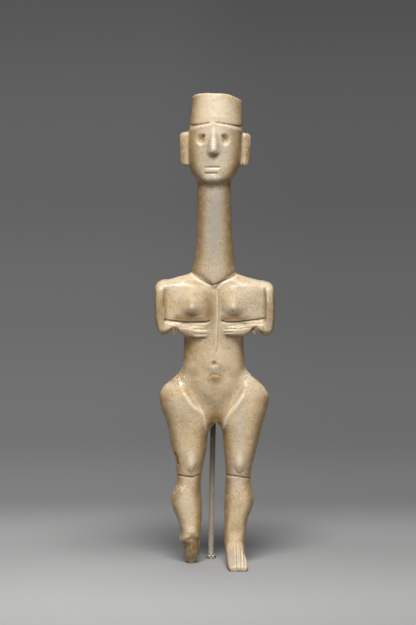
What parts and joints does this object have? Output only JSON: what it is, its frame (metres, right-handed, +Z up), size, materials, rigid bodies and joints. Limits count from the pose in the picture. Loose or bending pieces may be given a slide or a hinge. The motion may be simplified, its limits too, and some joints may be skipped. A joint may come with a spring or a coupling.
{
  "type": "marble figurine on a rod mount",
  "caption": "Small carved marble figure of a standing woman with folded arms, long neck and flat cap, held upright from behind by a thin rod with a bent wire cradle under its elbows.",
  "frame": {"origin": "on the shelf, under the middle of the whole object's box: z = 0 is the plane of the sole, the broken heel and the mount's foot", "axes": "+Z up; the figure faces -Y; +X is to the right of someone who faces the figure"},
  "size_m": [0.0544, 0.038, 0.2142],
  "materials": {
    "marble": "smoothed by hand, worn and stained",
    "rod_paint": "satin",
    "wire_paint": "semi-gloss",
    "foot_paint": "satin"
  },
  "bodies": {
    "root": {"figurine": "marble", "mount_rod": "rod_paint", "mount_cradle": "wire_paint", "mount_foot": "foot_paint"}
  },
  "joints": []
}
